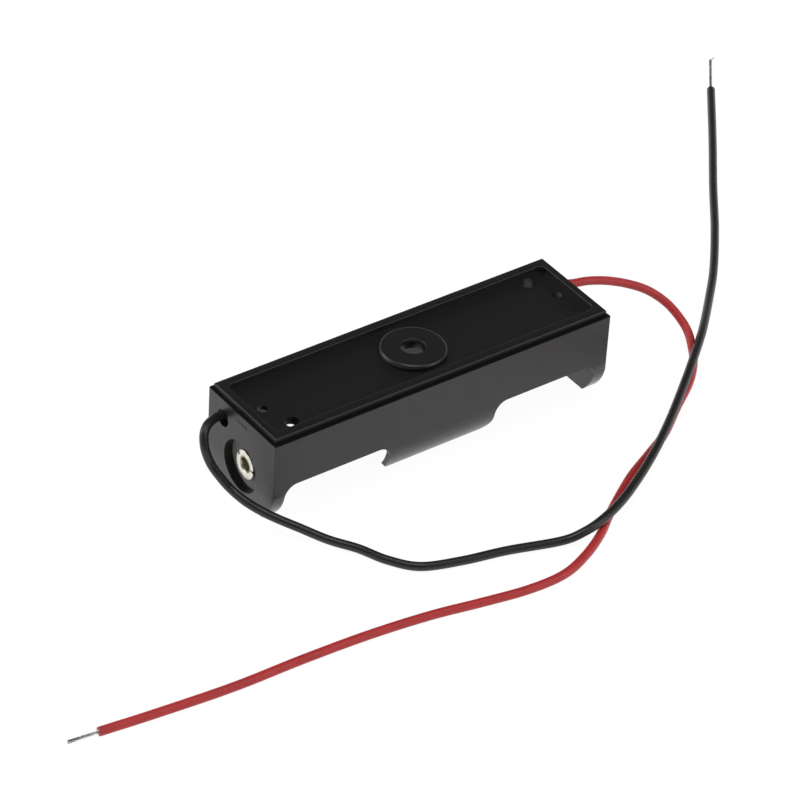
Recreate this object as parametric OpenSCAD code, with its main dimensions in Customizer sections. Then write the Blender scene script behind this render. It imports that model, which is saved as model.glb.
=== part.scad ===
// Holder for one AA cell, with two flying leads.
// It stands on its open side, with the mounting base on top.
// Millimetres. X runs along the cell, with the negative end at -X. Z points out of the base.
// The origin is at the middle of the open side.

/* [Cell bay] */
// Diameter of the cell
cell_d = 14.5; // [13.9:0.1:14.6]
// Gap between the cell and the middle of the roof over it
cell_clearance = 0.1; // [0.05:0.05:0.3]
// Height of the cell's axis above the open side
cell_z = 5.6; // [5.5:0.05:5.7]
// Inner radius of the roof's shallow arch
roof_r = 11.5; // [9:0.5:16]

/* [Housing] */
// Length over the two end walls
body_l = 57.4; // [54:0.2:64]
// Width over the two side walls
body_w = 16.2; // [15.9:0.1:17.5]
// Height from the open side to the top of the rim
body_h = 14.5; // [14.2:0.1:16]
// Thickness of the side walls
side_wall = 0.75; // [0.6:0.05:0.85]
// Thickness of the end walls
end_wall = 2; // [1.8:0.1:3]
// Radius of the four upright corners
corner_r = 0.2; // [0.1:0.05:0.6]
// Outer radius where the sides turn under the cell
turn_r = 7.85; // [7.2:0.05:8.1]
// Height at which the sides start to turn under
turn_z = 5.7; // [5.4:0.1:5.9]
// Height of the side walls' lower edge
edge_z = 5.95; // [5.9:0.05:7]
// Length of the retaining tab in the middle of each side
tab_l = 18.2; // [12:0.2:26]
// Height of the tab's lower edge
tab_z = 1.2; // [0.8:0.1:1.8]
// Radius of one lower corner of the tab
tab_corner_r = 1.8; // [0.8:0.1:2.1]
// Radius of its other lower corner
tab_small_r = 0.6; // [0.3:0.1:1.2]
// Radius of the fillets at the upper corners of the windows
window_fillet_r = 1.9; // [0.8:0.1:3]

/* [Base] */
// Height of the rim above the ledge round it
rim_h = 0.9; // [0.5:0.05:1.2]
// Width of the ledge outside the rim at the ends
rim_end_inset = 0.45; // [0.3:0.05:0.9]
// Width of that ledge along the sides
rim_side_inset = 0.6; // [0.3:0.05:0.9]
// Width of the rim's top at the ends
rim_end_w = 1.1; // [0.9:0.05:1.8]
// Width of the rim's top along the sides
rim_side_w = 1.4; // [0.9:0.05:1.8]
// Depth of the recess inside the rim
recess_depth = 0.85; // [0.6:0.05:1.0]
// Radius of the recess's corners
recess_corner_r = 0.8; // [0.2:0.1:1.5]
// Small bevel along the rim's top edges
rim_bevel = 0.12; // [0.05:0.01:0.3]
// Diameter of the boss round the mounting hole
boss_d = 9.8; // [7:0.1:11]
// Radius of the rounded edge of the boss
boss_round = 0.65; // [0.2:0.05:0.75]
// Diameter of the mounting hole
mount_hole_d = 3.5; // [2.5:0.1:4.2]
// Bevel at the mouth of the mounting hole
mount_hole_bevel = 0.15; // [0.1:0.05:0.4]
// Diameter of the two core holes on the centre line
core_hole_d = 1.5; // [0.8:0.1:1.8]
// Distance from a core hole to the end of the bay
core_hole_inset = 1.4; // [1.2:0.1:3]
// Diameter of the two holes set off the centre line
side_hole_d = 2.2; // [1:0.1:2.4]
// Distance from such a hole to the end of the bay
side_hole_inset = 3.2; // [2.6:0.1:5]
// Distance from such a hole to the centre line
side_hole_y = 4.5; // [3.4:0.1:4.8]

/* [End walls] */
// Diameter of the counterbore round an eyelet
counterbore_d = 7.9; // [6:0.1:8.6]
// Depth of the counterbore
counterbore_depth = 1.4; // [0.9:0.1:1.5]
// Diameter of the hole that a lead comes through
wire_hole_d = 2.6; // [1.8:0.1:2.8]
// Distance of that hole from the centre line
wire_hole_y = 4.5; // [4.2:0.1:4.8]
// Height of that hole above the open side
wire_hole_z = 10.5; // [10.2:0.1:10.8]

/* [Contacts] */
// Height of the contacts' axis above the open side
contact_z = 5.1; // [4.9:0.05:5.4]
// Thickness of the stamped contact plates
plate_t = 0.3; // [0.2:0.05:0.4]
// Diameter of the round part of a contact plate
plate_d = 9.6; // [9.2:0.1:10]
// Width of a plate's solder ear
ear_w = 2.4; // [1.8:0.1:2.6]
// Distance from the contacts' axis to the tip of the ear
ear_reach = 6.5; // [6.3:0.1:6.8]
// Angle between the ear and the line to the wire hole
ear_turn = 14; // [12:1:20]
// Bore of an eyelet
eyelet_bore_d = 2.1; // [1.6:0.1:2.3]
// Wall of an eyelet's barrel
eyelet_wall = 0.35; // [0.25:0.05:0.4]
// Radial gap between the barrel and its holes
eyelet_fit = 0.05; // [0.02:0.01:0.1]
// Diameter of an eyelet's head inside the bay
eyelet_head_d = 4.4; // [3.6:0.1:5]
// Thickness of that head
eyelet_head_t = 0.3; // [0.2:0.05:0.4]
// Diameter of the clinched end in the counterbore
clinch_d = 4.4; // [3.8:0.1:5]
// Height of the clinched end
clinch_h = 0.6; // [0.4:0.05:0.7]
// Number of splits in the clinched end
clinch_splits = 4; // [3:1:6]
// Width of a split
split_w = 0.25; // [0.15:0.05:0.4]

/* [Spring] */
// Diameter of the spring wire
spring_wire_d = 0.7; // [0.5:0.05:0.8]
// Mean diameter of the coil that lies on the plate
spring_base_d = 7.8; // [7.4:0.1:8]
// Mean diameter of the coil that touches the cell
spring_tip_d = 4.6; // [3.6:0.1:5.4]
// Free length of the spring
spring_l = 7; // [5:0.1:9]
// Turns between the flat base coil and the flat tip coil
spring_turns = 3; // [2:0.5:4]
// Width of the two lugs folded over the base coil
lug_w = 1.6; // [1:0.1:2]
// Gap between a lug and the wire under it
lug_gap = 0.12; // [0.08:0.01:0.2]

/* [Leads] */
// Outer diameter of the insulated leads
lead_d = 1.3; // [1:0.05:1.4]
// Diameter of the twisted conductor
conductor_d = 0.5; // [0.4:0.05:0.6]
// Length of insulation inside the end wall
lead_inside = 0.7; // [0.5:0.05:0.9]
// Distance from the middle of a wire hole up to the lead that lies in it
lead_offset = 0.6; // [0:0.05:0.6]
// Bare length at the free end of the black lead
black_tip_l = 9; // [3:0.5:12]
// Bare length at the free end of the red lead
red_tip_l = 4.5; // [3:0.5:12]
// Radius of a solder joint
solder_r = 0.75; // [0.6:0.05:0.85]

/* [Hidden] */
$fn = 64;

// Overshoot of a cut past the face it opens
cut = 1;
// Overlap of two pieces of one solid
join = 0.3;

ledge_z = body_h - rim_h;
floor_z = body_h - recess_depth;
bay_l = body_l - 2 * end_wall;
bay_w = body_w - 2 * side_wall;
roof_z = cell_z + cell_d / 2 + cell_clearance;
turn_y = body_w / 2 - turn_r;
inner_turn_r = turn_r - side_wall;

barrel_r = eyelet_bore_d / 2 + eyelet_wall;
web_t = end_wall - counterbore_depth;
plate_face_x = bay_l / 2 - plate_t;

ear_angle = atan2(wire_hole_z - contact_z, wire_hole_y) + ear_turn;
solder_reach = ear_reach - ear_w / 2;
solder_y = solder_reach * cos(ear_angle);
solder_z = contact_z + solder_reach * sin(ear_angle);
lead_z = wire_hole_z + lead_offset;

// The base coil starts at the bottom of the plate, and the lugs hold its last half turn
spring_start = 250;
lug_angles = [spring_start - 10, spring_start + 250];
spring_sections = 16;

// Route of the black lead outside the housing, from its hole to the end of its insulation
black_route = [
    [-29.7, 4.4, 11.2], [-31, 3.9, 11.4], [-32.3, 3.2, 11.3], [-33.2, 2.4, 10.6], [-33.6, 1.4, 9.1],
    [-33.3, 0.4, 7.2], [-32.8, -1.1, 5.8], [-32.1, -2.7, 4.5], [-31.3, -5, 3.6], [-30.1, -7.1, 2.8],
    [-28.9, -9.3, 2.4], [-27, -12, 1.8], [-24.5, -15.5, 1], [-22, -19, 0.8],
    [-20, -23, 0.7], [-17, -26.5, 0.7], [-11.5, -28.5, 0.7], [-5, -30, 0.7], [2.5, -32.4, 0.8],
    [6, -33.2, 1.6], [9.4, -32.8, 2.1], [14, -31, 2.1], [19.5, -28, 2.1], [25, -24.5, 2.1],
    [31, -20.2, 2.1], [37, -15.5, 2.1], [42.8, -10.8, 2.2], [48.7, -5.7, 2], [55, 0.5, 1.2],
    [61, 6.7, 0.8], [68, 15, 0.7], [75, 24, 0.7], [83, 34, 0.7], [92, 45.5, 0.7],
];

// Route of the red lead outside the housing, from its hole to the end of its insulation
red_route = [
    [30.3, 4.5, 10.9], [32.1, 4.4, 10.5], [34.7, 4.3, 10], [38, 3.9, 9], [41.5, 3, 7.6], [44.5, 1.8, 5.9],
    [46.5, -0.5, 4], [47, -4, 2], [45.5, -7.5, 0.9], [43.4, -10.3, 0.7], [40, -13.5, 0.7],
    [35, -17, 0.7], [29.5, -21, 0.7], [24.5, -23.6, 0.7], [19, -26.4, 0.7], [12, -31, 0.7],
    [8, -34, 0.7], [3.5, -36.5, 0.7], [-1.5, -38.2, 0.7], [-7.5, -38.2, 0.7], [-14.5, -37, 0.7],
    [-22, -35.5, 0.7], [-31, -34.4, 0.7], [-41, -33.8, 0.7], [-52, -33.5, 0.7], [-63, -32.5, 0.7],
    [-71.5, -31.5, 0.7],
];

// Sides of a swept tube, and rings for each stretch between two points of a route
tube_sides = 8;
rings_per_stretch = 1.25;
// Stretches in the loop of bare strands from a lead to its solder joint
loop_stretches = 4;

function unit(v) = v / norm(v);

// The straight stretch of a lead through its end wall, side -1 or 1
function lead_start(side) = [
    for (x = [bay_l / 2 - lead_inside, (bay_l / 2 + body_l / 2 - lead_inside) / 2, body_l / 2])
        [side * x, wire_hole_y, lead_z]
];

// A smooth curve through points p, at t from 0 to len(p) - 1
function curve_at(p, t) =
    let (
        last = len(p) - 1,
        i = min(floor(t), last - 1),
        u = t - i,
        b = p[i],
        c = p[i + 1],
        a = i > 0 ? p[i - 1] : 2 * b - c,
        d = i < last - 1 ? p[i + 2] : 2 * c - b
    )
    0.5 * (2 * b + u * (c - a) + u * u * (2 * a - 5 * b + 4 * c - d) + u * u * u * (3 * b - 3 * c + d - a));

function smooth_path(p) =
    let (last = len(p) - 1, steps = ceil(last * rings_per_stretch))
    [for (k = [0:steps]) curve_at(p, last * k / steps)];

black_path = smooth_path(concat(lead_start(-1), black_route));
red_path = smooth_path(concat(lead_start(1), red_route));

// The flat coil on the plate, the cone of active turns, then half a flat turn at the tip
function spring_point(turn) =
    let (
        rise = min(max((turn - 1) / spring_turns, 0), 1),
        angle = spring_start + 360 * turn,
        r = (spring_base_d + rise * (spring_tip_d - spring_base_d)) / 2
    )
    [
        -plate_face_x + spring_wire_d / 2 + rise * (spring_l - spring_wire_d),
        r * cos(angle),
        contact_z + r * sin(angle)
    ];

// A round bar swept along a path; up is any direction that the path never follows
module tube(path, d, up) {
    last = len(path) - 1;
    points = [
        for (i = [0:last])
            let (
                along = unit(path[min(i + 1, last)] - path[max(i - 1, 0)]),
                across = unit(cross(along, up)),
                over = cross(across, along)
            )
            for (k = [0:tube_sides - 1])
                let (angle = 360 * (k + 0.5) / tube_sides)
                path[i] + d / 2 * (cos(angle) * across + sin(angle) * over)
    ];
    walls = [
        for (i = [0:last - 1], k = [0:tube_sides - 1])
            let (a = i * tube_sides + k, b = i * tube_sides + (k + 1) % tube_sides)
            [a, b, b + tube_sides, a + tube_sides]
    ];
    near_end = [for (k = [tube_sides - 1:-1:0]) k];
    far_end = [for (k = [0:tube_sides - 1]) last * tube_sides + k];
    polyhedron(points = points, faces = concat(walls, [near_end, far_end]));
}

// Extrudes a section drawn as [y, z] along X
module along_x(length) {
    rotate([90, 0, 90]) linear_extrude(length, center = true) children();
}

// Extrudes a section drawn as [x, z] along Y
module along_y(length) {
    rotate([90, 0, 0]) linear_extrude(length, center = true) children();
}

// Puts a round piece, drawn along +Z from the bay's end outwards, on the contacts' axis at one end
module at_end(side) {
    translate([side * bay_l / 2, 0, contact_z]) rotate([0, side * 90, 0]) children();
}

// End view of the outside, below the ledge
module outer_section() {
    translate([-body_w / 2, turn_z]) square([body_w, ledge_z - turn_z]);
    intersection() {
        translate([-body_w / 2, 0]) square([body_w, turn_z]);
        for (side = [-1, 1]) translate([side * turn_y, turn_z]) circle(r = turn_r);
    }
}

// End view of the cell bay: a shallow arch over the cell, and sides that turn under it
module bay_section() {
    intersection() {
        translate([-bay_w / 2, turn_z]) square([bay_w, body_h]);
        translate([0, roof_z - roof_r]) circle(r = roof_r);
    }
    intersection() {
        translate([-bay_w / 2, -cut]) square([bay_w, turn_z + cut]);
        for (side = [-1, 1]) translate([side * turn_y, turn_z]) circle(r = inner_turn_r);
    }
}

// Side view of a fillet in the corner at [x, edge_z], with the open side towards direction
module window_fillet(x, direction) {
    centre_x = x + direction * window_fillet_r;
    difference() {
        translate([min(x, centre_x), edge_z - window_fillet_r])
            square([window_fillet_r, window_fillet_r + cut]);
        translate([centre_x, edge_z - window_fillet_r]) circle(r = window_fillet_r);
    }
}

// Side view of the retaining tab on the -Y side, with round lower corners
module tab_section() {
    small_x = tab_small_r - tab_l / 2;
    large_x = tab_l / 2 - tab_corner_r;
    corner_z = tab_z + tab_corner_r;
    translate([-tab_l / 2, tab_z + tab_small_r])
        square([large_x + tab_l / 2, edge_z + cut - tab_z - tab_small_r]);
    translate([small_x, tab_z]) square([large_x - small_x, tab_corner_r]);
    translate([large_x - join, corner_z]) square([tab_corner_r + join, edge_z + cut - corner_z]);
    translate([small_x, tab_z + tab_small_r]) circle(r = tab_small_r);
    translate([large_x, corner_z]) circle(r = tab_corner_r);
}

// Side view of everything that is open below the -Y side wall
module window_section() {
    difference() {
        translate([-bay_l / 2, -cut]) square([bay_l, edge_z + cut]);
        tab_section();
        for (side = [-1, 1]) {
            window_fillet(side * tab_l / 2, side);
            window_fillet(side * bay_l / 2, -side);
        }
    }
}

// Opens both sides; the +Y side is the -Y side turned half round
module windows() {
    reach = body_w / 2 + cut;
    for (turn = [0, 180])
        rotate([0, 0, turn]) translate([0, (join - reach) / 2, 0]) along_y(reach + join) window_section();
}

// A rectangle with round corners
module round_rectangle(length, width, r) {
    square([length - 2 * r, width], center = true);
    square([length, width - 2 * r], center = true);
    for (x = [-1, 1], y = [-1, 1]) translate([x * (length / 2 - r), y * (width / 2 - r)]) circle(r = r);
}

// The outside below the ledge, with round upright corners
module outer_block() {
    intersection() {
        along_x(body_l) outer_section();
        linear_extrude(ledge_z) round_rectangle(body_l, body_w, corner_r);
    }
}

// A block with bevelled top edges, from bottom to top
module bevelled_block(length, width, bottom, top) {
    intersection() {
        along_y(width + 2 * cut) bevelled_outline(length, bottom, top);
        along_x(length + 2 * cut) bevelled_outline(width, bottom, top);
    }
}

module bevelled_outline(width, bottom, top) {
    polygon([
        [-width / 2, bottom], [width / 2, bottom],
        [width / 2, top - rim_bevel], [width / 2 - rim_bevel, top],
        [-width / 2 + rim_bevel, top], [-width / 2, top - rim_bevel],
    ]);
}

// The block whose outer strip is the rim that stands on the mounting surface
module rim_block() {
    bevelled_block(body_l - 2 * rim_end_inset, body_w - 2 * rim_side_inset, ledge_z - join, body_h);
}

// The recess inside the rim
module recess() {
    length = body_l - 2 * (rim_end_inset + rim_end_w);
    width = body_w - 2 * (rim_side_inset + rim_side_w);
    translate([0, 0, floor_z]) linear_extrude(body_h) round_rectangle(length, width, recess_corner_r);
}

module boss() {
    edge_r = boss_d / 2 - boss_round;
    rotate_extrude() {
        translate([0, floor_z - join]) square([boss_d / 2, recess_depth + join - boss_round]);
        translate([0, floor_z]) square([edge_r, recess_depth]);
        translate([edge_r, body_h - boss_round])
            intersection() {
                circle(r = boss_round);
                square(boss_round);
            }
    }
}

module mount_hole() {
    translate([0, 0, cell_z]) cylinder(d = mount_hole_d, h = body_h);
    translate([0, 0, body_h - mount_hole_bevel])
        cylinder(d1 = mount_hole_d, d2 = mount_hole_d + 2 * mount_hole_bevel, h = mount_hole_bevel);
}

// Two pairs of small holes through the roof of the bay
module roof_holes() {
    for (side = [-1, 1]) {
        translate([side * (bay_l / 2 - core_hole_inset), 0, cell_z]) cylinder(d = core_hole_d, h = body_h);
        translate([side * (bay_l / 2 - side_hole_inset), side * side_hole_y, cell_z])
            cylinder(d = side_hole_d, h = body_h);
    }
}

// What is cut into an end wall: counterbore, eyelet hole and wire hole
module end_cuts(side) {
    at_end(side) {
        translate([0, 0, web_t]) cylinder(d = counterbore_d, h = counterbore_depth + cut);
        translate([0, 0, -cut]) cylinder(r = barrel_r + eyelet_fit, h = web_t + 2 * cut);
    }
    translate([side * (bay_l / 2 - join), wire_hole_y, wire_hole_z])
        rotate([0, side * 90, 0]) cylinder(d = wire_hole_d, h = join + end_wall + cut);
}

module housing() {
    color([0.13, 0.13, 0.13])
        difference() {
            union() {
                difference() {
                    union() {
                        outer_block();
                        rim_block();
                    }
                    recess();
                }
                boss();
            }
            along_x(bay_l) bay_section();
            windows();
            mount_hole();
            roof_holes();
            for (side = [-1, 1]) end_cuts(side);
        }
}

// A hollow rivet through the end wall and the contact plate, clinched in the counterbore
module eyelet(side) {
    curl_r = clinch_h / 2;
    color([0.85, 0.84, 0.78])
        at_end(side)
            difference() {
                union() {
                    translate([0, 0, -plate_t - eyelet_head_t]) {
                        cylinder(d = eyelet_head_d, h = eyelet_head_t);
                        cylinder(r = barrel_r, h = plate_t + eyelet_head_t + web_t + curl_r);
                    }
                    difference() {
                        translate([0, 0, web_t])
                            rotate_extrude() {
                                square([clinch_d / 2 - curl_r, clinch_h]);
                                translate([clinch_d / 2 - curl_r, curl_r]) circle(r = curl_r);
                            }
                        for (k = [0:clinch_splits - 1])
                            rotate(360 * (k + 0.5) / clinch_splits)
                                translate([barrel_r, -split_w / 2, web_t - cut])
                                    cube([clinch_d, split_w, clinch_h + 2 * cut]);
                    }
                }
                translate([0, 0, -end_wall]) cylinder(d = eyelet_bore_d, h = 2 * end_wall);
            }
}

module negative_eyelet() {
    eyelet(-1);
}

module positive_eyelet() {
    eyelet(1);
}

// A stamped disc with a solder ear beside the wire hole
module contact_plate(side) {
    translate([side * (bay_l / 2 - plate_t / 2), 0, 0])
        along_x(plate_t)
            difference() {
                union() {
                    translate([0, contact_z]) {
                        circle(d = plate_d);
                        rotate(ear_angle) translate([0, -ear_w / 2]) square([solder_reach, ear_w]);
                    }
                    translate([solder_y, solder_z]) circle(d = ear_w);
                }
                translate([0, contact_z]) circle(r = barrel_r + eyelet_fit);
            }
}

// A lug that stands on the plate's edge and folds in over the spring's base coil
module spring_lug(angle) {
    inner_r = (spring_base_d + spring_wire_d) / 2 + lug_gap;
    top = spring_wire_d + lug_gap;
    fold = inner_r - spring_base_d / 2;
    translate([-plate_face_x, 0, contact_z])
        rotate([angle, 0, 0]) {
            translate([0, inner_r, -lug_w / 2]) cube([top + plate_t, plate_t, lug_w]);
            translate([top, inner_r - fold, -lug_w / 2]) cube([plate_t, fold, lug_w]);
        }
}

module negative_plate() {
    color([0.80, 0.80, 0.78]) {
        contact_plate(-1);
        for (angle = lug_angles) spring_lug(angle);
    }
}

module positive_plate() {
    color([0.80, 0.80, 0.78]) contact_plate(1);
}

module negative_spring() {
    turns = spring_turns + 1.5;
    steps = ceil(turns * spring_sections);
    color([0.75, 0.76, 0.77])
        tube([for (k = [0:steps]) spring_point(turns * k / steps)], spring_wire_d, [1, 0, 0]);
}

module black_lead() {
    color([0.07, 0.07, 0.07]) tube(black_path, lead_d, [0, 0, 1]);
}

module red_lead() {
    color([0.75, 0.12, 0.14]) tube(red_path, lead_d, [0, 0, 1]);
}

// The bare strands past the end of the insulation
module tip(path, length) {
    end = path[len(path) - 1];
    along = unit(end - path[len(path) - 2]);
    color([0.72, 0.72, 0.72]) tube([end, end + length * along], conductor_d, [0, 0, 1]);
}

module black_tip() {
    tip(black_path, black_tip_l);
}

module red_tip() {
    tip(red_path, red_tip_l);
}

// The bare strands inside the bay, looped from the insulation over to the solder ear
module inner_end(side) {
    start = [bay_l / 2 - lead_inside, wire_hole_y, lead_z];
    seat = [plate_face_x - conductor_d / 2, solder_y, solder_z];
    loop = [
        start,
        start - [conductor_d / 2, 0, 0],
        for (k = [1:loop_stretches - 1])
            let (share = k / loop_stretches)
            (1 - share) * start + share * seat - [conductor_d * sin(180 * share), 0, 0],
        seat,
    ];
    color([0.72, 0.72, 0.72])
        tube([for (p = loop) [side * p[0], p[1], p[2]]], conductor_d, [0, 0, 1]);
}

module black_inner_end() {
    inner_end(-1);
}

module red_inner_end() {
    inner_end(1);
}

// A dome of solder on the ear
module solder(side) {
    color([0.78, 0.78, 0.76])
        translate([side * plate_face_x, solder_y, solder_z])
            rotate([0, -side * 90, 0])
                rotate_extrude()
                    intersection() {
                        circle(r = solder_r);
                        square(solder_r);
                    }
}

module black_solder() {
    solder(-1);
}

module red_solder() {
    solder(1);
}

housing();
negative_eyelet();
positive_eyelet();
negative_plate();
positive_plate();
negative_spring();
black_lead();
red_lead();
black_tip();
red_tip();
black_inner_end();
red_inner_end();
black_solder();
red_solder();
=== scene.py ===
import math
import random

import bmesh
import bpy
from mathutils import Matrix, Vector, noise


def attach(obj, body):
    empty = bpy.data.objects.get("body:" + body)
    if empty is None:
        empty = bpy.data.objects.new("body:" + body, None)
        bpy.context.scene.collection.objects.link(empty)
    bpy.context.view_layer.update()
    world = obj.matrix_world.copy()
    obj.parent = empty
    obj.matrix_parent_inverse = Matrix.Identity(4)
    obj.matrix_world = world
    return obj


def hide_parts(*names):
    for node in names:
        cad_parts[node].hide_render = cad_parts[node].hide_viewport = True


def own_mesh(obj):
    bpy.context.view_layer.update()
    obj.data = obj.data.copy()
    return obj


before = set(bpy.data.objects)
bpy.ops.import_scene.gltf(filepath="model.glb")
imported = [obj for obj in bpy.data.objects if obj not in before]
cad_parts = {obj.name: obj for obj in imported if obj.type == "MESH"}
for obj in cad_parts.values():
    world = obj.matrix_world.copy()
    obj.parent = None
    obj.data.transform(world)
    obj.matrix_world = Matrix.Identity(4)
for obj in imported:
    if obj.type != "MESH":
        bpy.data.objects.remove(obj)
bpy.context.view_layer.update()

MM = 0.001

# ---------------------------------------------------------------- sizes, as in the part's source, in mm

BODY_L = 57.4
BODY_W = 16.2
BODY_H = 14.5
END_WALL = 2.0
WEB_T = 0.6
BASE_Z = 13.6  # top of the ledge around the rim
CONTACT_Z = 5.1
PLATE_T = 0.3
PLATE_FACE_X = BODY_L / 2 - END_WALL - PLATE_T
LEAD_D = 1.3
CONDUCTOR_D = 0.5
LEAD_INSIDE = 0.7
LEAD_Y, LEAD_Z = 4.5, 11.1
EAR_REACH = 5.3
EAR_ANGLE = math.atan2(5.4, 4.5) + math.radians(14)
SOLDER_Y = EAR_REACH * math.cos(EAR_ANGLE)
SOLDER_Z = CONTACT_Z + EAR_REACH * math.sin(EAR_ANGLE)

SPRING_BASE_D, SPRING_TIP_D, SPRING_WIRE_D = 7.8, 4.6, 0.7
SPRING_RISE = 6.3
SPRING_TURNS = 3
DEAD_TURN = 1  # flat turn on the plate before the coil rises
SPRING_START = 250  # degrees
STRAND_LAY = 3.6
RIVET_BORE_R, RIVET_R, HEAD_R = 1.05, 1.4, 2.05
FLANGE_R, FLANGE_H = 2.16, 0.58

# Routes of the two leads from their holes to the ends of their insulation
BLACK_ROUTE = [
    (-29.7, 4.4, 11.2), (-31, 3.9, 11.4), (-32.3, 3.2, 11.3), (-33.2, 2.4, 10.6), (-33.6, 1.4, 9.1),
    (-33.3, 0.4, 7.2), (-32.8, -1.1, 5.8), (-32.1, -2.7, 4.5), (-31.3, -5, 3.6), (-30.1, -7.1, 2.8),
    (-28.9, -9.3, 2.4), (-27, -12, 1.8), (-24.5, -15.5, 1), (-22, -19, 0.8),
    (-20, -23, 0.7), (-17, -26.5, 0.7), (-11.5, -28.5, 0.7), (-5, -30, 0.7), (2.5, -32.4, 0.8),
    (6, -33.2, 1.6), (9.4, -32.8, 2.1), (14, -31, 2.1), (19.5, -28, 2.1), (25, -24.5, 2.1),
    (31, -20.2, 2.1), (37, -15.5, 2.1), (42.8, -10.8, 2.2), (48.7, -5.7, 2), (55, 0.5, 1.2),
    (61, 6.7, 0.8), (68, 15, 0.7), (75, 24, 0.7), (83, 34, 0.7), (92, 45.5, 0.7),
]
RED_ROUTE = [
    (30.3, 4.5, 10.9), (32.1, 4.4, 10.5), (34.7, 4.3, 10), (38, 3.9, 9), (41.5, 3, 7.6), (44.5, 1.8, 5.9),
    (46.5, -0.5, 4), (47, -4, 2), (45.5, -7.5, 0.9), (43.4, -10.3, 0.7), (40, -13.5, 0.7),
    (35, -17, 0.7), (29.5, -21, 0.7), (24.5, -23.6, 0.7), (19, -26.4, 0.7), (12, -31, 0.7),
    (8, -34, 0.7), (3.5, -36.5, 0.7), (-1.5, -38.2, 0.7), (-7.5, -38.2, 0.7), (-14.5, -37, 0.7),
    (-22, -35.5, 0.7), (-31, -34.4, 0.7), (-41, -33.8, 0.7), (-52, -33.5, 0.7), (-63, -32.5, 0.7),
    (-71.5, -31.5, 0.7),
]

# ---------------------------------------------------------------- camera


def aim(azimuth, elevation, distance, target):
    """A matrix for a camera at that angle and distance, looking at target."""
    a, e = math.radians(azimuth), math.radians(elevation)
    back = Vector((math.sin(a) * math.cos(e), -math.cos(a) * math.cos(e), math.sin(e)))
    turn = (-back).to_track_quat("-Z", "Y").to_matrix().to_4x4()
    return Matrix.Translation(target + back * distance) @ turn


AZIMUTH, ELEVATION, ROLL = -38.0224, 36.7794, 3.7342  # degrees
DISTANCE = 0.5885

camera_data = bpy.data.cameras.new("camera")
camera_data.lens = 189.24
camera_data.sensor_width = 36
camera_data.shift_x = -0.01365
camera_data.shift_y = -0.02105
camera_data.clip_start = 0.01
camera_data.clip_end = 50
camera = bpy.data.objects.new("camera", camera_data)
bpy.context.collection.objects.link(camera)
camera.matrix_world = aim(AZIMUTH, ELEVATION, DISTANCE, Vector((0, 0, 0.008))) @ Matrix.Rotation(
    math.radians(ROLL), 4, "Z"
)
bpy.context.scene.camera = camera

# ---------------------------------------------------------------- materials


class Finish:
    """A procedural material; every texture is laid out in the part's own metres."""

    def __init__(self, name, **sockets):
        self.material = bpy.data.materials.new(name)
        self.material.use_nodes = True
        self.tree = self.material.node_tree
        self.shader = self.tree.nodes["Principled BSDF"]
        self.coords = self.tree.nodes.new("ShaderNodeTexCoord").outputs["Object"]
        for socket, value in sockets.items():
            self.shader.inputs[socket.replace("_", " ")].default_value = value

    def node(self, kind, settings=None, **inputs):
        node = self.tree.nodes.new(kind)
        for key, value in (settings or {}).items():
            setattr(node, key, value)
        for key, value in inputs.items():
            socket = node.inputs[key.replace("_", " ")]
            if hasattr(value, "links"):
                self.tree.links.new(value, socket)
            else:
                socket.default_value = value
        return node

    def noise(self, size_mm, detail=3.0, roughness=0.5):
        """Noise whose lumps are about size_mm across, from 0 to 1."""
        return self.node(
            "ShaderNodeTexNoise",
            Vector=self.coords,
            Scale=1 / (size_mm * MM),
            Detail=detail,
            Roughness=roughness,
        ).outputs["Fac"]

    def spread(self, value, low, high, start=0.3, end=0.7):
        """value from start to end becomes low to high."""
        return self.node(
            "ShaderNodeMapRange", Value=value, From_Min=start, From_Max=end, To_Min=low, To_Max=high
        ).outputs["Result"]

    def maths(self, operation, a, b):
        node = self.tree.nodes.new("ShaderNodeMath")
        node.operation = operation
        for socket, value in zip(node.inputs, (a, b)):
            if hasattr(value, "links"):
                self.tree.links.new(value, socket)
            else:
                socket.default_value = value
        return node.outputs[0]

    def mix(self, factor, a, b):
        """A colour between a and b."""
        node = self.tree.nodes.new("ShaderNodeMix")
        node.data_type = "RGBA"
        for index, value in ((0, factor), (6, a), (7, b)):
            if hasattr(value, "links"):
                self.tree.links.new(value, node.inputs[index])
            else:
                node.inputs[index].default_value = value
        return node.outputs[2]

    def bump(self, height, depth_mm, normal=None):
        """Relief of depth_mm from a height of 0 to 1."""
        node = self.node("ShaderNodeBump", Height=height, Strength=1.0, Distance=depth_mm * MM)
        if normal is not None:
            self.tree.links.new(normal, node.inputs["Normal"])
        return node.outputs["Normal"]

    def facing_up(self):
        """1 on faces that look up, 0 on all others."""
        normal = self.node("ShaderNodeNewGeometry").outputs["Normal"]
        return self.spread(self.node("ShaderNodeSeparateXYZ", Vector=normal).outputs["Z"], 0, 1, 0.9, 0.99)

    def facing_out(self):
        """1 on faces that look along X, 0 on all others."""
        normal = self.node("ShaderNodeNewGeometry").outputs["Normal"]
        along = self.node("ShaderNodeSeparateXYZ", Vector=normal).outputs["X"]
        return self.spread(self.maths("ABSOLUTE", along, 0), 0, 1, 0.9, 0.99)

    def put(self, socket, value):
        self.tree.links.new(value, self.shader.inputs[socket])


def grey(level, tint=0.0):
    return (level * (1 + tint), level, level * (1 - tint), 1)


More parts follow.
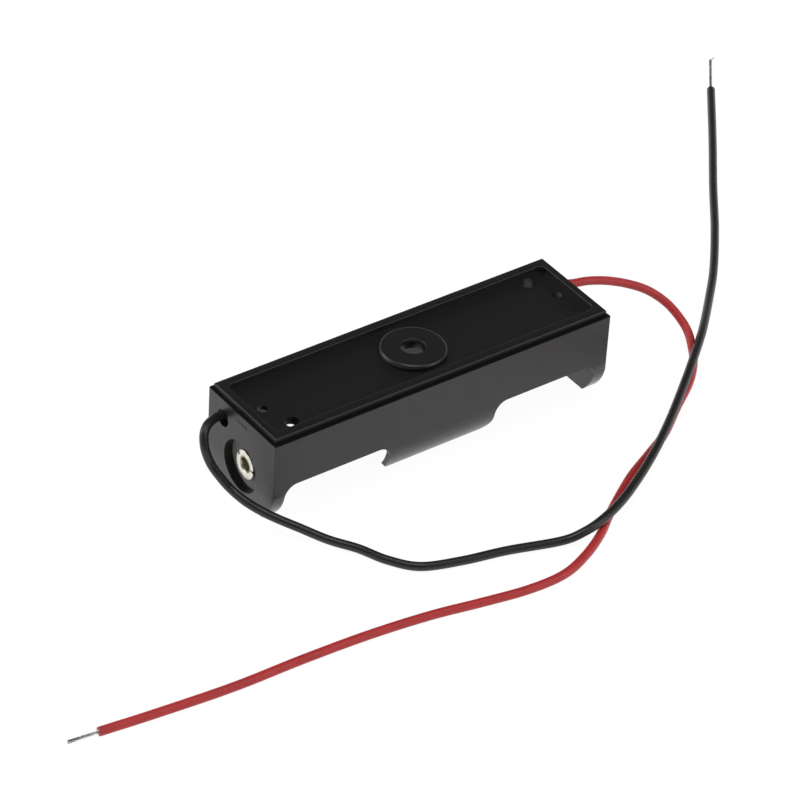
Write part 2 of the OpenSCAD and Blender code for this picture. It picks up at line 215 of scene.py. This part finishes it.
# Moulded black ABS: satin walls that get glossier towards the open side, a finer gloss and grain on
# the base and its rim, and matt floors in the eyelets' pockets. The base and every face that looks up
# are painted darker than the walls, as painted shade, and the pockets' floors are painted light grey,
# as a painted reflection
plastic = Finish("black_abs", IOR=1.55, Specular_Tint=(1, 0.955, 0.97, 1))
up = plastic.facing_up()
place = plastic.node("ShaderNodeSeparateXYZ", Vector=plastic.coords)
above_ledge = plastic.spread(place.outputs["Z"], 0, 1, (BASE_Z - 0.1) * MM, BASE_Z * MM)
base = plastic.maths("MAXIMUM", up, above_ledge)
off_floor = plastic.maths(
    "SUBTRACT", plastic.maths("ABSOLUTE", place.outputs["X"], 0), (BODY_L / 2 - END_WALL + WEB_T) * MM
)
# Mask of the pockets' floors: a matt finish, and a painted reflection in their colour
pocket = plastic.maths(
    "MULTIPLY",
    plastic.facing_out(),
    plastic.spread(plastic.maths("ABSOLUTE", off_floor, 0), 1, 0, 0.05 * MM, 0.15 * MM),
)
# Painted shade: the base and every face that looks up get a darker colour than the walls of the same
# plastic, for the dark studio above that they mirror
skin = plastic.mix(plastic.noise(4), grey(0.0065), grey(0.008, 0.02))
wall_skin = plastic.mix(plastic.noise(5), grey(0.012, 0.03), grey(0.015, 0.03))
skin = plastic.mix(base, wall_skin, skin)
# Painted reflection: the pockets' floors take a light grey in place of the black plastic, so they show as
# bright as the end wall around them, which mirrors the white floor
plastic.put("Base Color", plastic.mix(pocket, skin, grey(0.25, 0.02)))
wall_gloss = plastic.maths(
    "SUBTRACT",
    plastic.spread(plastic.noise(1.2), 0.39, 0.45),
    plastic.spread(place.outputs["Z"], 0.24, 0, 2 * MM, 4.5 * MM),
)
base_gloss = plastic.spread(plastic.noise(0.25), 0.32, 0.4)
gloss = plastic.maths(
    "ADD", wall_gloss, plastic.maths("MULTIPLY", base, plastic.maths("SUBTRACT", base_gloss, wall_gloss))
)
plastic.put("Roughness", plastic.maths("MAXIMUM", gloss, plastic.maths("MULTIPLY", pocket, 0.7)))
# The ledge around the rim's foot keeps its sides dark
outside = plastic.maths(
    "MAXIMUM",
    plastic.maths("SUBTRACT", plastic.maths("ABSOLUTE", place.outputs["X"], 0), (BODY_L / 2 - 1) * MM),
    plastic.maths("SUBTRACT", plastic.maths("ABSOLUTE", place.outputs["Y"], 0), (BODY_W / 2 - 1) * MM),
)
near_top = plastic.spread(place.outputs["Z"], 0, 1, (BASE_Z + 0.7) * MM, (BASE_Z + 0.8) * MM)
foot = plastic.maths(
    "MULTIPLY", plastic.maths("GREATER_THAN", outside, 0), plastic.maths("SUBTRACT", base, near_top)
)
plastic.put("Specular IOR Level", plastic.spread(foot, 0.5, 0.2, 0, 1))
grain = plastic.maths("MULTIPLY", plastic.noise(0.14, 2), up)
plastic.put("Normal", plastic.bump(plastic.noise(6, 1), 0.012, plastic.bump(grain, 0.003)))


def insulation(name, dark, light, roughness):
    """Extruded PVC: slightly uneven colour, a soft gloss and a fine skin."""
    finish = Finish(name, IOR=1.5)
    finish.put("Base Color", finish.mix(finish.spread(finish.noise(3.5), 0, 1), dark, light))
    finish.put("Roughness", finish.spread(finish.noise(0.8), roughness - 0.05, roughness + 0.07))
    finish.put("Normal", finish.bump(finish.noise(0.35, 2), 0.005, finish.bump(finish.noise(2.5, 1), 0.015)))
    return finish.material


black_insulation = insulation("black_pvc", grey(0.013), grey(0.019, 0.04), 0.36)
red_insulation = insulation("red_pvc", (0.56, 0.036, 0.038, 1), (0.67, 0.043, 0.045, 1), 0.42)


def metal(name, dark, light, roughness, patch_mm, relief_mm, bore=None):
    """Plated metal: soft patches of tarnish, and fine drawing marks in its relief."""
    finish = Finish(name, Metallic=1.0, IOR=1.5)
    patches = finish.noise(patch_mm, 4, 0.6)
    colour = finish.mix(finish.spread(patches, 0, 1), light, dark)
    finish.put("Roughness", finish.spread(finish.noise(patch_mm / 3), roughness - 0.06, roughness + 0.1))
    finish.put("Normal", finish.bump(finish.noise(0.12, 3), relief_mm))
    if bore:
        # Olive brass shows where the tin has not reached, inside the bore
        across = finish.node(
            "ShaderNodeMapping", Vector=finish.coords, Location=(0, 0, -CONTACT_Z * MM), Scale=(0, 1, 1)
        )
        radius = finish.node("ShaderNodeVectorMath", {"operation": "LENGTH"}, Vector=across.outputs[0])
        inside = finish.spread(radius.outputs["Value"], 1, 0, 1.2 * MM, 1.35 * MM)
        colour = finish.mix(inside, colour, bore)
    finish.put("Base Color", colour)
    return finish.material


OLIVE_BRASS = (0.34, 0.31, 0.21, 1)
eyelet_metal = metal(
    "tinned_brass", (0.74, 0.71, 0.61, 1), (0.9, 0.88, 0.8, 1), 0.4, 0.9, 0.008, OLIVE_BRASS
)
plate_metal = metal("nickel_plate", (0.55, 0.54, 0.5, 1), (0.72, 0.71, 0.68, 1), 0.22, 1.6, 0.004)
spring_metal = metal("nickel_wire", (0.5, 0.5, 0.5, 1), (0.68, 0.68, 0.68, 1), 0.2, 0.8, 0.003)
strand_metal = metal("tinned_copper", (0.42, 0.42, 0.42, 1), (0.7, 0.7, 0.69, 1), 0.28, 0.5, 0.002)
solder_metal = metal("solder", (0.5, 0.5, 0.48, 1), (0.74, 0.74, 0.72, 1), 0.24, 0.4, 0.006)

# Painted shade: near-black standing in for the shadow inside the engraved grooves of the polarity marks,
# which are in the same black plastic as the wall
mark_painted_shade = Finish("groove_painted_shade", IOR=1.5)
mark_painted_shade.put("Base Color", mark_painted_shade.mix(mark_painted_shade.noise(0.3), grey(0.004), grey(0.01)))
mark_painted_shade.put("Roughness", mark_painted_shade.spread(mark_painted_shade.noise(0.2), 0.6, 0.8))

# ---------------------------------------------------------------- building


def smooth_path(points, per_stretch):
    """The smooth curve through points that the part's source uses, in metres."""
    p = [Vector(point) * MM for point in points]
    p = [2 * p[0] - p[1]] + p + [2 * p[-1] - p[-2]]
    path = []
    for i in range(1, len(p) - 2):
        a, b, c, d = p[i - 1 : i + 3]
        for k in range(per_stretch):
            u = k / per_stretch
            square = 2 * a - 5 * b + 4 * c - d
            cube = 3 * b - 3 * c + d - a
            path.append(0.5 * (2 * b + u * (c - a) + u * u * square + u**3 * cube))
    return path + [p[-2]]


def frames(path):
    """A direction and two cross directions at each point, carried along without twist."""
    result = []
    across = None
    for i in range(len(path)):
        along = (path[min(i + 1, len(path) - 1)] - path[max(i - 1, 0)]).normalized()
        if across is None:
            across = along.orthogonal().normalized()
        across = (across - along * across.dot(along)).normalized()
        result.append((along, across, along.cross(across)))
    return result


def add_tube(bm, path, radius, sides=10, edge=0.15):
    """A round bar along path, with slightly rounded ends."""
    axes = frames(path)
    lip = radius * edge
    rings = [(path[0], axes[0], radius - lip)]
    rings += [(path[0] + axes[0][0] * lip, axes[0], radius)]
    rings += [(path[i], axes[i], radius) for i in range(1, len(path) - 1)]
    rings += [(path[-1] - axes[-1][0] * lip, axes[-1], radius), (path[-1], axes[-1], radius - lip)]
    loops = []
    for centre, (_, across, over), r in rings:
        loops.append(
            [
                bm.verts.new(
                    centre
                    + across * (r * math.cos(2 * math.pi * k / sides))
                    + over * (r * math.sin(2 * math.pi * k / sides))
                )
                for k in range(sides)
            ]
        )
    for a, b in zip(loops, loops[1:]):
        for k in range(sides):
            bm.faces.new((a[k], a[(k + 1) % sides], b[(k + 1) % sides], b[k]))
    bm.faces.new(loops[0][::-1])
    bm.faces.new(loops[-1])


def finish_mesh(name, bm, material, body="holder", node=None, sharp=35):
    """Turns bm into a shaded piece that rides on a body and may stand for a CAD node."""
    bmesh.ops.recalc_face_normals(bm, faces=bm.faces)
    mesh = bpy.data.meshes.new(name)
    bm.to_mesh(mesh)
    bm.free()
    mesh.shade_smooth()
    mesh.set_sharp_from_angle(angle=math.radians(sharp))
    piece = bpy.data.objects.new(name, mesh)
    bpy.context.collection.objects.link(piece)
    mesh.materials.append(material)
    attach(piece, body)
    if node:
        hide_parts(node)
    return piece


def add_cord(name, points, material, node):
    """An insulated lead: one open curve, cut square at both ends."""
    path = smooth_path(points, 10)
    curve = bpy.data.curves.new(name, "CURVE")
    curve.dimensions = "3D"
    spline = curve.splines.new("POLY")
    spline.points.add(len(path) - 1)
    for point, place in zip(spline.points, path):
        point.co = (*place, 1)
    spline.use_smooth = True
    curve.bevel_depth = LEAD_D / 2 * MM
    curve.bevel_resolution = 6
    curve.use_fill_caps = True
    piece = bpy.data.objects.new(name, curve)
    bpy.context.collection.objects.link(piece)
    curve.materials.append(material)
    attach(piece, "holder")
    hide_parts(node)
    return piece, path


def add_strands(bm, path, lay_mm, seed, fray_mm=0.0, stray=None):
    """Seven twisted strands along path; the outer ones open a little towards the free end."""
    rng = random.Random(seed)
    strand_r = CONDUCTOR_D / 6 * MM
    lengths = [0.0]
    for a, b in zip(path, path[1:]):
        lengths.append(lengths[-1] + (b - a).length)
    total = lengths[-1]
    axes = frames(path)
    add_tube(bm, path, strand_r, 8)
    for k in range(6):
        short = rng.uniform(0, 0.5) * MM if fray_mm else 0.0
        opening = rng.uniform(0.2, 1.0) * fray_mm * MM
        line = []
        for place, done, (_, across, over) in zip(path, lengths, axes):
            if done > total - short:
                break
            angle = 2 * math.pi * (k / 6 + done / (lay_mm * MM))
            near_end = max(0.0, 1 - (total - done) / (1.6 * MM)) ** 2 if fray_mm else 0.0
            wander = noise.noise(Vector((k * 7.3, done / MM * 0.9, seed))) * 0.03 * MM
            r = 2 * strand_r * 0.97 + opening * near_end + wander
            line.append(place + across * (r * math.cos(angle)) + over * (r * math.sin(angle)))
        if stray and k == stray:
            tail = (line[-1] - line[-3]).normalized()
            side = axes[-1][1]
            for step in range(1, 6):
                line.append(line[-1] + (tail + side * 0.25 * step).normalized() * 0.12 * MM)
        add_tube(bm, line, strand_r, 8)


def resample(a, b, step):
    count = max(2, math.ceil((b - a).length / step))
    return [a.lerp(b, k / count) for k in range(count + 1)]


# ---------------------------------------------------------------- leads


def lead(side, colour, route, insulation_material, tip_l, seed):
    """A lead from its solder joint, through its hole and over the floor to its bare tip."""
    start = [(side * x, LEAD_Y, LEAD_Z) for x in (26.0, 27.35, 28.7)]
    cord, path = add_cord(
        f"{colour}_cord", start + route, insulation_material, f"{colour}_lead"
    )
    along = (path[-1] - path[-2]).normalized()
    bm = bmesh.new()
    tip_path = resample(path[-1] - along * 0.2 * MM, path[-1] + along * tip_l * MM, 0.1 * MM)
    # A stripped end is never quite straight
    for point in tip_path:
        far = (point - path[-1]).dot(along) / (tip_l * MM)
        point += along.cross(Vector((0, 0, 1))) * (0.12 * MM * far * far * (1 if seed % 2 else -1))
    add_strands(bm, tip_path, STRAND_LAY, seed, fray_mm=0.12, stray=3)
    strands = finish_mesh(f"{colour}_tip_strands", bm, strand_metal, node=f"{colour}_tip")


lead(-1, "black", BLACK_ROUTE, black_insulation, 9.0, 5)
lead(1, "red", RED_ROUTE, red_insulation, 4.5, 8)


def inner_end(side, colour, seed):
    """The strands from the insulation over to the solder ear, and the solder that holds them."""
    first = Vector((PLATE_FACE_X + PLATE_T - LEAD_INSIDE, LEAD_Y, LEAD_Z))
    seat = Vector((PLATE_FACE_X - CONDUCTOR_D / 2, SOLDER_Y, SOLDER_Z))
    loop = [first + Vector((0.15, 0, 0)), first - Vector((CONDUCTOR_D / 2, 0, 0))]
    for share in (0.25, 0.5, 0.75):
        loop.append(first.lerp(seat, share) - Vector((CONDUCTOR_D * math.sin(math.pi * share), 0, 0)))
    loop.append(seat)
    path = smooth_path([(side * p.x, p.y, p.z) for p in loop], 10)
    bm = bmesh.new()
    add_strands(bm, path, STRAND_LAY, seed)
    finish_mesh(
        f"{colour}_inner_strands", bm, strand_metal, node=f"{colour}_inner_end"
    )

    # Solder: a dome that thins out into a skirt on the ear, a little uneven all round
    bm = bmesh.new()
    profile = [
        (0.0, 0.72), (0.2, 0.7), (0.38, 0.62), (0.52, 0.48), (0.6, 0.32), (0.67, 0.17), (0.78, 0.07),
        (0.95, 0.0),
    ]
    centre = Vector((side * PLATE_FACE_X, SOLDER_Y, SOLDER_Z)) * MM
    turns = 40
    rows = []
    for radius, height in profile:
        row = []
        for k in range(turns if radius else 1):
            angle = 2 * math.pi * k / turns
            lump = 1 + 0.12 * noise.noise(Vector((math.cos(angle) * 1.3, math.sin(angle) * 1.3, seed)))
            r = radius * lump
            place = Vector((-side * height * lump, r * math.cos(angle), r * math.sin(angle)))
            row.append(bm.verts.new(centre + place * MM))
        rows.append(row)
    for a, b in zip(rows, rows[1:]):
        for k in range(turns):
            n = (k + 1) % turns
            if len(a) == 1:
                bm.faces.new((a[0], b[k], b[n]))
            else:
                bm.faces.new((a[k], b[k], b[n], a[n]))
    bm.faces.new(rows[-1])
    finish_mesh(f"{colour}_solder_joint", bm, solder_metal, node=f"{colour}_solder")


inner_end(-1, "black", 2)
inner_end(1, "red", 6)

# ---------------------------------------------------------------- spring


def spring_point(turn):
    """A point of the spring's centre line: a cone between a flat turn at each end."""
    rise = min(max((turn - DEAD_TURN) / SPRING_TURNS, 0), 1)
    angle = math.radians(SPRING_START + 360 * turn)
    r = (SPRING_BASE_D + rise * (SPRING_TIP_D - SPRING_BASE_D)) / 2
    x = -PLATE_FACE_X + SPRING_WIRE_D / 2 + rise * SPRING_RISE
    return Vector((x, r * math.cos(angle), CONTACT_Z + r * math.sin(angle))) * MM


bm = bmesh.new()
steps, turns = 324, DEAD_TURN + SPRING_TURNS + 0.5
line = [spring_point(turns * k / steps) for k in range(steps + 1)]
add_tube(bm, line, SPRING_WIRE_D / 2 * MM, 16, 0.25)
spring = finish_mesh("contact_spring", bm, spring_metal, node="negative_spring")
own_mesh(spring)

# ---------------------------------------------------------------- eyelets


def eyelet(side, name, node, splits, lean, seed):
    """A hollow rivet: a rolled head on the plate, a barrel, and a clinched flange torn into petals."""
    rng = random.Random(seed)
    petals = []
    for angle, width, depth in splits:
        petals.append((math.radians(angle), math.radians(width), depth, rng.uniform(-0.03, 0.04)))
    steps = 180
    bore, outer = RIVET_BORE_R, RIVET_R
    plate_x = -PLATE_T
    loops = []
    bm = bmesh.new()
    for k in range(steps):
        angle = 2 * math.pi * k / steps
        reach, lift = FLANGE_R - 0.1 * math.cos(2 * angle), 0.0
        for i, (split, width, depth, higher) in enumerate(petals):
            following = petals[(i + 1) % len(petals)][0]
            gap = (following - split) % (2 * math.pi)
            inside = (angle - split) % (2 * math.pi)
            if inside < gap:
                lift = higher * math.sin(math.pi * inside / gap)
            edge = min(inside, 2 * math.pi - inside) / width
            if edge < 1:
                reach -= depth * min(1, 2 - 2 * edge)
        reach += 0.02 * noise.noise(Vector((math.cos(angle) * 4, math.sin(angle) * 4, seed)))
        top = WEB_T + FLANGE_H + lift
        profile = [
            (bore, plate_x - 0.05), (bore, WEB_T + 0.2), (bore + 0.02, WEB_T + 0.42),
            (bore + 0.08, top - 0.06), (bore + 0.2, top), (max(reach - 0.4, bore + 0.26), top + 0.01),
            (max(reach - 0.12, bore + 0.32), top - 0.02), (max(reach, bore + 0.36), top - 0.08),
            (max(reach - 0.05, bore + 0.34), top - 0.14), (max(reach - 0.4, outer + 0.05), top - 0.2),
            (outer + 0.02, top - 0.36), (outer, WEB_T + 0.05), (outer, plate_x), (HEAD_R, plate_x),
            (2.18, plate_x - 0.08), (2.17, plate_x - 0.2), (HEAD_R, plate_x - 0.28), (1.5, plate_x - 0.3),
            (bore + 0.15, plate_x - 0.26),
        ]
        offsets = [min(max((depth - WEB_T - 0.05) / 0.3, 0), 1) for r, depth in profile]
        loops.append(
            [
                bm.verts.new(
                    Vector(
                        (
                            side * (BODY_L / 2 - END_WALL + depth),
                            r * math.cos(angle) + off * lean[0],
                            CONTACT_Z + r * math.sin(angle) + off * lean[1],
                        )
                    )
                    * MM
                )
                for (r, depth), off in zip(profile, offsets)
            ]
        )
    for k in range(steps):
        a, b = loops[k], loops[(k + 1) % steps]
        for i in range(len(a)):
            n = (i + 1) % len(a)
            bm.faces.new((a[i], a[n], b[n], b[i]))
    return finish_mesh(name, bm, eyelet_metal, node=node, sharp=50)


# Splits as (angle, width, depth), angles in degrees and depths in mm, then the flange's lean in mm
NEGATIVE_SPLITS = [(41, 9, 0.5), (102, 10, 0.12), (182, 5, 0.6), (284, 8, 0.16)]
POSITIVE_SPLITS = [(30, 8, 0.4), (118, 6, 0.55), (200, 9, 0.2), (287, 7, 0.45)]
eyelet(-1, "negative_rivet", "negative_eyelet", NEGATIVE_SPLITS, (0.2, -0.22), 3)
eyelet(1, "positive_rivet", "positive_eyelet", POSITIVE_SPLITS, (-0.06, 0.04), 4)

# ---------------------------------------------------------------- polarity marks


def mark(side, name, strokes):
    """Thin strokes of an engraved mark near the top of an end wall, built as strips a hair proud of it and
    coloured near-black as painted shade for the shadow in the groove.
    """
    bm = bmesh.new()
    for a, b, width in strokes:
        a, b = Vector(a) * MM, Vector(b) * MM
        along = (b - a).normalized()
        across = Vector((1, 0, 0)).cross(along)
        half = width / 2 * MM
        outline = []
        for end, way in ((a, -1), (b, 1)):
            for k in range(9):
                turn = math.pi * (k / 8 - 0.5)
                outline.append(end + way * (along * math.cos(turn) + across * math.sin(turn)) * half)
        rows = []
        for depth, grow in ((-0.05, 1.0), (0.012, 1.0), (0.02, 0.8)):
            row = []
            for point in outline:
                middle = a + along * min(max((point - a).dot(along), 0), (b - a).length)
                place = middle + (point - middle) * grow
                row.append(bm.verts.new(Vector((side * (BODY_L / 2 + depth) * MM, place.y, place.z))))
            rows.append(row)
        for low, high in zip(rows, rows[1:]):
            for k in range(len(low)):
                n = (k + 1) % len(low)
                bm.faces.new((low[k], low[n], high[n], high[k]))
        bm.faces.new(rows[0])
        bm.faces.new(rows[-1])
    return finish_mesh(name, bm, mark_painted_shade.material)


mark(-1, "minus_mark", [((0, 1.1, 12.35), (0, -0.8, 12.35), 0.19), ((0, -0.95, 12.3), (0, -1.1, 12.3), 0.4)])
mark(1, "plus_mark", [((0, 1.1, 12.35), (0, -1.1, 12.35), 0.16), ((0, 0, 13.05), (0, 0, 11.65), 0.16)])

# ---------------------------------------------------------------- CAD nodes that keep their shape


def dress(node, material, round_edge=None):
    """Gives a CAD node its material, with the small bevels on its edges shaded as round ones."""
    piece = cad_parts[node]
    piece.data.materials.clear()
    piece.data.materials.append(material)
    piece.data.shade_smooth()
    weld = piece.modifiers.new("weld", "WELD")
    weld.merge_threshold = 0.002 * MM
    flat = piece.modifiers.new("flat_faces", "DECIMATE")
    flat.decimate_type = "DISSOLVE"
    flat.angle_limit = math.radians(0.5)
    if round_edge:
        group = piece.vertex_groups.new(name="round_edge")
        group.add([v.index for v in piece.data.vertices if round_edge(*(v.co / MM))], 1, "REPLACE")
        bevel = piece.modifiers.new("round_edge", "BEVEL")
        bevel.limit_method = "VGROUP"
        bevel.vertex_group = group.name
        bevel.width = 0.13 * MM
        bevel.segments = 2
    sharp = piece.modifiers.new("sharp_edges", "EDGE_SPLIT")
    sharp.split_angle = math.radians(50)
    normals = piece.modifiers.new("normals", "WEIGHTED_NORMAL")
    normals.mode = "FACE_AREA"


INNER_EDGE_X, INNER_EDGE_Y = 27.3, 6.2  # just outside the rim's inner top edge
BOSS_CLEAR_R = 5.5


def inner_rim_edge(x, y, z):
    """Whether a corner lies on the rim's inner top edge."""
    on_top = z > BODY_H - 0.01 and abs(x) < INNER_EDGE_X and abs(y) < INNER_EDGE_Y
    return on_top and math.hypot(x, y) > BOSS_CLEAR_R


dress("housing", plastic.material, inner_rim_edge)
dress("negative_plate", plate_metal)
dress("positive_plate", plate_metal)

# ---------------------------------------------------------------- floor, world and lamps

WHITE_GLOW = 0.95


def floor_material():
    """White card: it shows as white, and keeps a faint shadow of the part."""
    m = bpy.data.materials.new("floor")
    m.use_nodes = True
    tree = m.node_tree
    tree.nodes.remove(tree.nodes["Principled BSDF"])
    output = tree.nodes["Material Output"]
    light_path = tree.nodes.new("ShaderNodeLightPath")
    seen = tree.nodes.new("ShaderNodeMath")
    seen.operation = "MAXIMUM"
    tree.links.new(light_path.outputs["Is Camera Ray"], seen.inputs[0])
    tree.links.new(light_path.outputs["Is Glossy Ray"], seen.inputs[1])
    card = tree.nodes.new("ShaderNodeBsdfDiffuse")
    card.inputs["Color"].default_value = grey(0.8)
    glow = tree.nodes.new("ShaderNodeEmission")
    glow.inputs["Strength"].default_value = WHITE_GLOW
    shade = tree.nodes.new("ShaderNodeBsdfDiffuse")
    shade.inputs["Color"].default_value = grey(0.12)
    shown = tree.nodes.new("ShaderNodeAddShader")
    tree.links.new(glow.outputs[0], shown.inputs[0])
    tree.links.new(shade.outputs[0], shown.inputs[1])
    mix = tree.nodes.new("ShaderNodeMixShader")
    tree.links.new(seen.outputs[0], mix.inputs[0])
    tree.links.new(card.outputs[0], mix.inputs[1])
    tree.links.new(shown.outputs[0], mix.inputs[2])
    tree.links.new(mix.outputs[0], output.inputs["Surface"])
    return m


bm = bmesh.new()
bmesh.ops.create_grid(bm, x_segments=1, y_segments=1, size=3)
floor_mesh = bpy.data.meshes.new("floor")
bm.to_mesh(floor_mesh)
bm.free()
floor = bpy.data.objects.new("floor", floor_mesh)
floor.location.z = -0.05 * MM
bpy.context.collection.objects.link(floor)
floor_mesh.materials.append(floor_material())

world = bpy.data.worlds.new("studio")
world.use_nodes = True
bpy.context.scene.world = world
tree = world.node_tree
background = tree.nodes["Background"]
direction = tree.nodes.new("ShaderNodeTexCoord").outputs["Generated"]
height = tree.nodes.new("ShaderNodeSeparateXYZ")
tree.links.new(direction, height.inputs[0])
fade = tree.nodes.new("ShaderNodeMapRange")
fade.interpolation_type = "SMOOTHSTEP"
tree.links.new(height.outputs["Z"], fade.inputs["Value"])
for socket, value in (("From Min", 0.1), ("From Max", 0.4), ("To Min", 0.95), ("To Max", 0.075)):
    fade.inputs[socket].default_value = value
light_path = tree.nodes.new("ShaderNodeLightPath")
strength = tree.nodes.new("ShaderNodeMix")
tree.links.new(light_path.outputs["Is Camera Ray"], strength.inputs[0])
tree.links.new(fade.outputs["Result"], strength.inputs[2])
strength.inputs[3].default_value = 1
tree.links.new(strength.outputs[0], background.inputs["Strength"])
background.inputs["Color"].default_value = grey(1)


def softbox(name, place, target, width, share):
    """A square lamp that alone lights a white card facing it to that share of white."""
    data = bpy.data.lights.new(name, "AREA")
    data.shape = "SQUARE"
    data.size = width
    reach = (Vector(target) - Vector(place)).length
    data.energy = share * math.pi**2 * reach**2
    lamp = bpy.data.objects.new(name, data)
    bpy.context.collection.objects.link(lamp)
    lamp.location = place
    lamp.rotation_euler = (Vector(target) - Vector(place)).to_track_quat("-Z", "Y").to_euler()


softbox("overhead", (-0.1, -0.05, 1.2), (0, 0, 0), 0.6, 0.27)
softbox("left", (-0.72, 0.78, 0.58), (0, 0, 0), 0.75, 0.3)
softbox("right", (0.62, -0.72, 0.76), (0, 0, 0), 0.75, 0.23)

bpy.context.scene.view_settings.view_transform = "Standard"
